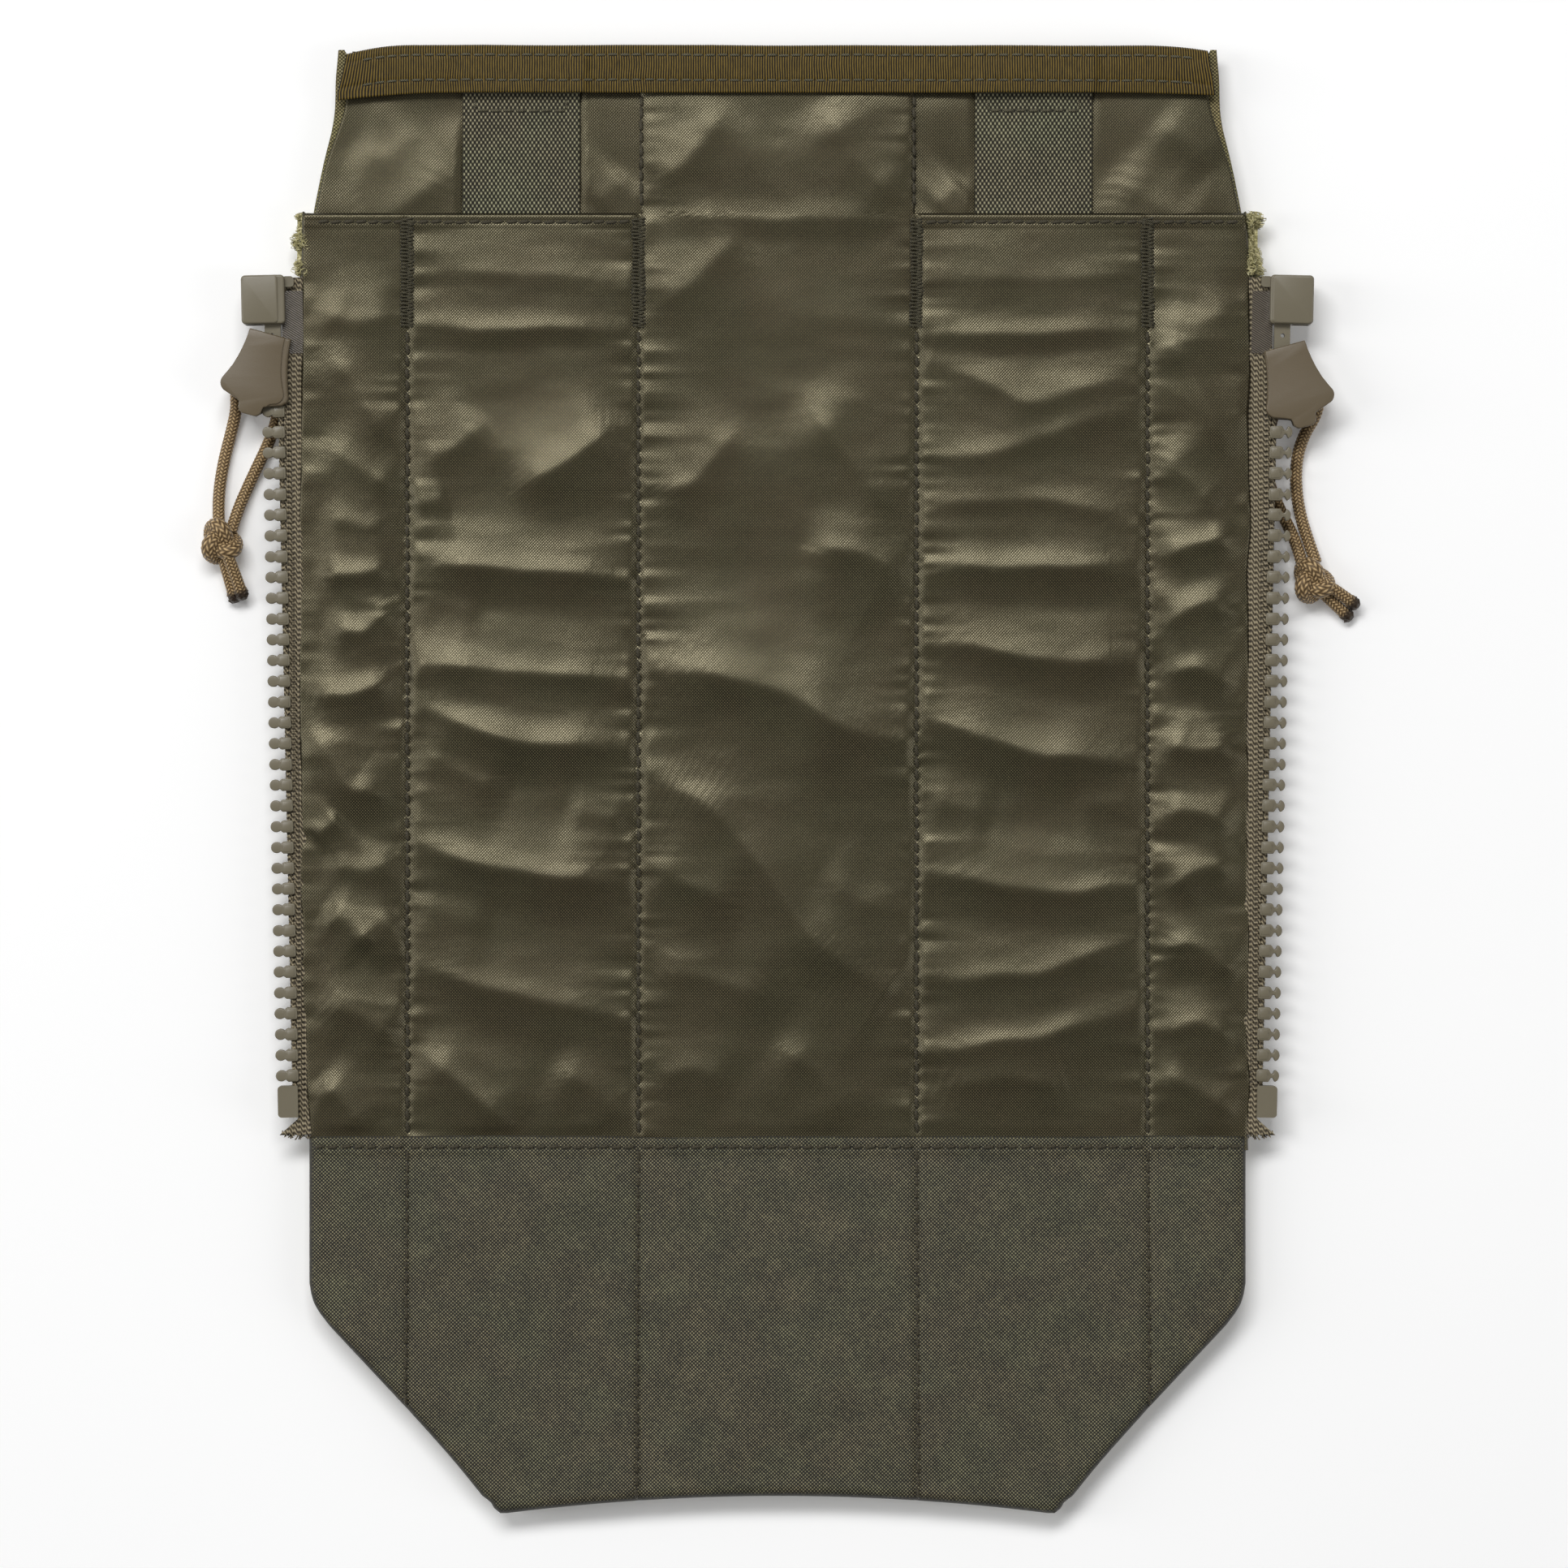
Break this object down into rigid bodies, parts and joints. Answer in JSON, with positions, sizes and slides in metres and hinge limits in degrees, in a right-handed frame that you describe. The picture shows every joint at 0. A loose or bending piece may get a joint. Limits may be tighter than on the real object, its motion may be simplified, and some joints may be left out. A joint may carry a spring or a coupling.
{
  "type": "zip-on back panel of a plate carrier",
  "caption": "Flat cloth back panel for a load-carrying vest, with open sleeves and straps on its rear face and a separating zipper half with slider and knotted pull cord down each side.",
  "frame": {"origin": "middle of the panel at the surface its front face lies on", "axes": "+X to the right as the rear face is looked at, +Y to the bound top edge, +Z out of the rear face"},
  "size_m": [0.2491, 0.315, 0.01],
  "materials": {
    "shell_cloth": "matte woven nylon with a visible square weave",
    "band_cloth": "matte textured nylon, slightly mottled",
    "coated_cloth": "shiny coated nylon with a fine twill grain",
    "binding_tape": "ribbed grosgrain tape",
    "strap_cloth": "matte textured nylon",
    "loop_pile": "fuzzy looped pile",
    "thread": "bonded sewing thread",
    "bartack_thread": "dense zigzag thread",
    "zip_tape": "coarse woven tape",
    "tape_film": "clear film over woven tape",
    "zip_plastic": "satin moulded plastic",
    "slider_paint": "satin paint, worn at the edges",
    "cord": "braided cord with melted ends"
  },
  "bodies": {
    "panel": {"band_stitching": "thread", "binding_stitching": "thread", "front_loop_strip": "loop_pile", "front_shell": "shell_cloth", "hem_stitching": "thread", "inner_lining": "coated_cloth", "lower_band": "band_cloth", "sleeve_bartacks": "bartack_thread", "sleeve_panel": "coated_cloth", "sleeve_seams": "thread", "strap_left": "strap_cloth", "strap_right": "strap_cloth", "strap_stitching": "thread", "tape_edge_cord_left": "zip_tape", "tape_edge_cord_right": "zip_tape", "tape_film_left": "tape_film", "tape_film_right": "tape_film", "top_binding": "binding_tape", "zip_box_left": "zip_plastic", "zip_box_right": "zip_plastic", "zip_pin_left": "zip_plastic", "zip_pin_right": "zip_plastic", "zip_stop_left": "zip_plastic", "zip_stop_right": "zip_plastic", "zip_tape_left": "zip_tape", "zip_tape_right": "zip_tape", "zip_teeth_left": "zip_plastic", "zip_teeth_right": "zip_plastic"},
    "slider_left": {"slider_body_left": "slider_paint", "slider_bail_left": "slider_paint"},
    "pull_left": {"pull_cord_left_outer": "cord", "pull_cord_left_inner": "cord", "pull_knot_left": "cord", "cord_tails_left": "cord"},
    "slider_right": {"slider_body_right": "slider_paint", "slider_bail_right": "slider_paint"},
    "pull_right": {"pull_cord_right_outer": "cord", "pull_cord_right_inner": "cord", "pull_knot_right": "cord", "cord_tails_right": "cord"}
  },
  "joints": [
    {"name": "left_slide", "type": "slide", "parent": "panel", "child": "slider_left", "axis": [0.0209, -0.9998, 0], "range_m": [-0.0005, 0.1445]},
    {"name": "right_slide", "type": "slide", "parent": "panel", "child": "slider_right", "axis": [-0.0209, -0.9998, 0], "range_m": [-0.003, 0.142]},
    {"name": "left_pull_swing", "type": "hinge", "parent": "slider_left", "child": "pull_left", "pos_m": [-0.11081, 0.08667, 0.0026], "axis": [0.9636, -0.2672, 0], "range_deg": [0, 150]},
    {"name": "right_pull_swing", "type": "hinge", "parent": "slider_right", "child": "pull_right", "pos_m": [0.11076, 0.08407, 0.0026], "axis": [0.9636, 0.2672, 0], "range_deg": [0, 150]}
  ]
}
